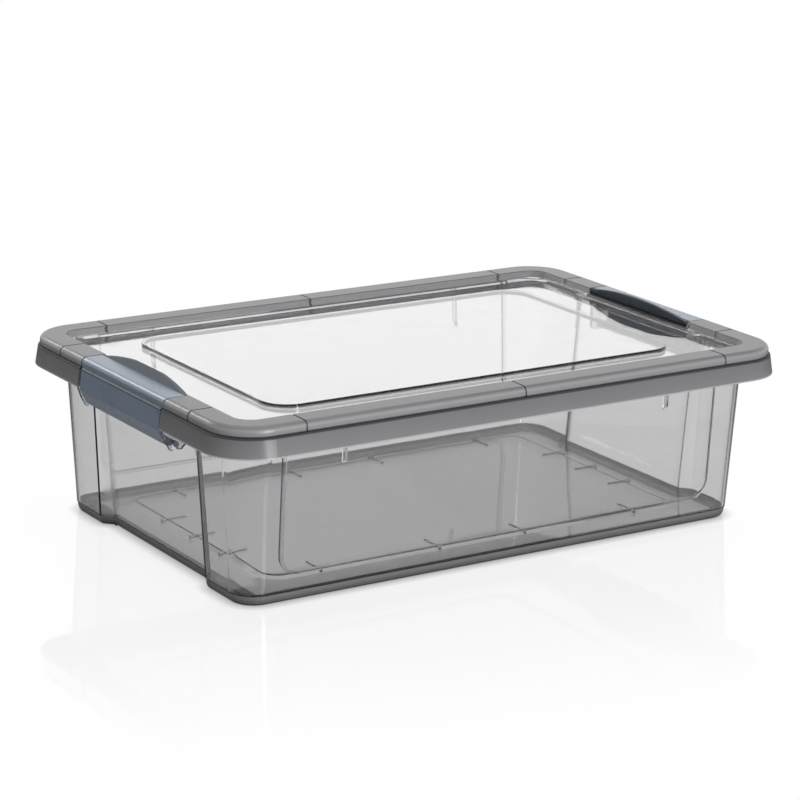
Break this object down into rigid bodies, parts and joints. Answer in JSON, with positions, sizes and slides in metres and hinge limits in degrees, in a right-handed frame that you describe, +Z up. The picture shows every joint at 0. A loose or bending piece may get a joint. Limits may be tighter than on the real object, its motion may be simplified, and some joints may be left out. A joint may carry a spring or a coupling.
{
  "type": "potato storage bin",
  "caption": "Clear tub with drafted walls and a clear recessed lid, held shut by a swinging slate latch with an arched finger lip at each end.",
  "frame": {"origin": "middle of the foot, on the table", "axes": "+X along the long side towards the right latch, +Y along the short side away from the viewer, +Z up"},
  "size_m": [0.4, 0.2696, 0.1179],
  "materials": {
    "tub": "gloss",
    "lid": "gloss",
    "latch_left": "satin",
    "latch_right": "satin"
  },
  "bodies": {
    "tub_body": {"tub": "tub"},
    "lid_body": {"lid": "lid"},
    "latch_left_body": {"latch_left": "latch_left"},
    "latch_right_body": {"latch_right": "latch_right"}
  },
  "joints": [
    {"name": "lid_lift", "type": "slide", "parent": "tub_body", "child": "lid_body", "axis": [0, 0, 1], "range_m": [0, 0.024]},
    {"name": "latch_left_hinge", "type": "hinge", "parent": "tub_body", "child": "latch_left_body", "pos_m": [-0.1903, 0, 0.0857], "axis": [0, -1, 0], "range_deg": [0, 165]},
    {"name": "latch_right_hinge", "type": "hinge", "parent": "tub_body", "child": "latch_right_body", "pos_m": [0.1903, 0, 0.0857], "axis": [0, 1, 0], "range_deg": [0, 165]}
  ],
  "couplings": [
    {"joint": "latch_left_hinge", "follows": "lid_lift", "rad_per_m": 119.9},
    {"joint": "latch_right_hinge", "follows": "lid_lift", "rad_per_m": 119.9}
  ]
}
